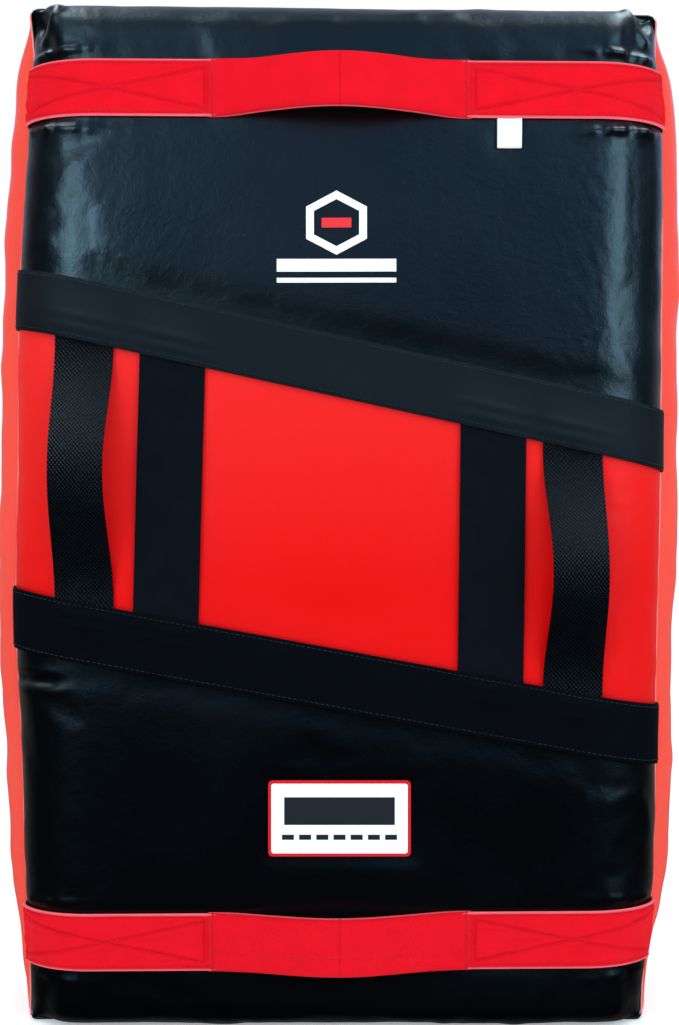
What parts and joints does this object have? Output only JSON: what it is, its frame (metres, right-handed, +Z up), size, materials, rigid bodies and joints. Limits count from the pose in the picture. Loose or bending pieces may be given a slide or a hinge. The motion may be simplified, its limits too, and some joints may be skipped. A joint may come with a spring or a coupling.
{
  "type": "thai pad",
  "caption": "Large rectangular kick shield with sewn grab handles at both ends, two standing arm loops and two flat inner straps on the holder's side.",
  "frame": {"origin": "on the ground under the middle of the pad, on its flat bottom end, half way through the pad's depth", "axes": "+Z up along the pad's length, +Y out of the strike face, so the holder's side with the handles and loops faces -Y; +X is to the holder's right as seen facing the holder's side"},
  "size_m": [0.4792, 0.1593, 0.7],
  "materials": {
    "black_vinyl": "black coated vinyl, fine grain, satin",
    "red_vinyl": "red coated vinyl, fine grain, satin",
    "black_band": "black woven band, matte",
    "black_webbing": "coarse black nylon webbing, matte",
    "black_knit": "fine black knit elastic, matte",
    "red_webbing": "red nylon webbing, matte",
    "white_patch": "white coated patch, smooth",
    "white_tag": "white woven tape, matte",
    "strike_foam": "firm closed-cell foam",
    "core_foam": "soft closed-cell foam"
  },
  "bodies": {
    "pad": {"upper_back_panel": "black_vinyl", "centre_back_panel": "red_vinyl", "lower_back_panel": "black_vinyl", "left_gusset": "red_vinyl", "right_gusset": "red_vinyl", "top_gusset": "black_vinyl", "bottom_gusset": "black_vinyl", "strike_panel": "black_vinyl", "foam_sheet_back": "core_foam", "foam_sheet_2": "core_foam", "foam_sheet_3": "core_foam", "foam_sheet_4": "core_foam", "foam_sheet_strike": "strike_foam", "top_handle_backing": "black_webbing", "bottom_handle_backing": "black_webbing", "upper_cross_band": "black_band", "lower_cross_band": "black_band", "left_arm_loop_top_tab": "black_webbing", "left_arm_loop_bottom_tab": "black_webbing", "right_arm_loop_top_tab": "black_webbing", "right_arm_loop_bottom_tab": "black_webbing", "left_inner_strap_top_tab": "black_knit", "left_inner_strap_bottom_tab": "black_knit", "right_inner_strap_top_tab": "black_knit", "right_inner_strap_bottom_tab": "black_knit", "top_handle_left_tab": "red_webbing", "top_handle_right_tab": "red_webbing", "bottom_handle_left_tab": "red_webbing", "bottom_handle_right_tab": "red_webbing", "badge_patch": "white_patch", "badge_border": "red_webbing"},
    "top_grip": {"top_grip_sleeve": "red_webbing", "top_grip_foam": "core_foam", "top_grip_webbing": "red_webbing"},
    "bottom_grip": {"bottom_grip_sleeve": "red_webbing", "bottom_grip_foam": "core_foam", "bottom_grip_webbing": "red_webbing"},
    "left_loop": {"left_arm_loop": "black_webbing"},
    "right_loop": {"right_arm_loop": "black_webbing"},
    "left_strap": {"left_inner_strap": "black_knit"},
    "right_strap": {"right_inner_strap": "black_knit"},
    "tag": {"folded_tag": "white_tag"}
  },
  "joints": [
    {"name": "top_handle_swing", "type": "hinge", "parent": "pad", "child": "top_grip", "pos_m": [0, -0.0756, 0.6335], "axis": [1, 0, 0], "range_deg": [-22, 22], "stiffness_Nm_per_rad": 0.02},
    {"name": "bottom_handle_swing", "type": "hinge", "parent": "pad", "child": "bottom_grip", "pos_m": [0, -0.07557, 0.0634], "axis": [1, 0, 0], "range_deg": [-15, 15], "stiffness_Nm_per_rad": 0.02},
    {"name": "left_arm_loop_swing", "type": "hinge", "parent": "pad", "child": "left_loop", "pos_m": [-0.171, -0.07526, 0.37668], "axis": [0, 0, 1], "range_deg": [-24, 24], "stiffness_Nm_per_rad": 0.01},
    {"name": "right_arm_loop_swing", "type": "hinge", "parent": "pad", "child": "right_loop", "pos_m": [0.156, -0.07526, 0.31096], "axis": [0, 0, 1], "range_deg": [-24, 24], "stiffness_Nm_per_rad": 0.01},
    {"name": "left_inner_strap_stretch", "type": "slide", "parent": "pad", "child": "left_strap", "axis": [0, -1, 0], "range_m": [0, 0.045], "stiffness_N_per_m": 100},
    {"name": "right_inner_strap_stretch", "type": "slide", "parent": "pad", "child": "right_strap", "axis": [0, -1, 0], "range_m": [0, 0.045], "stiffness_N_per_m": 100},
    {"name": "tag_flap", "type": "hinge", "parent": "pad", "child": "tag", "pos_m": [0.1136, -0.0644, 0.6135], "axis": [-1, 0, 0], "range_deg": [0, 80]}
  ]
}
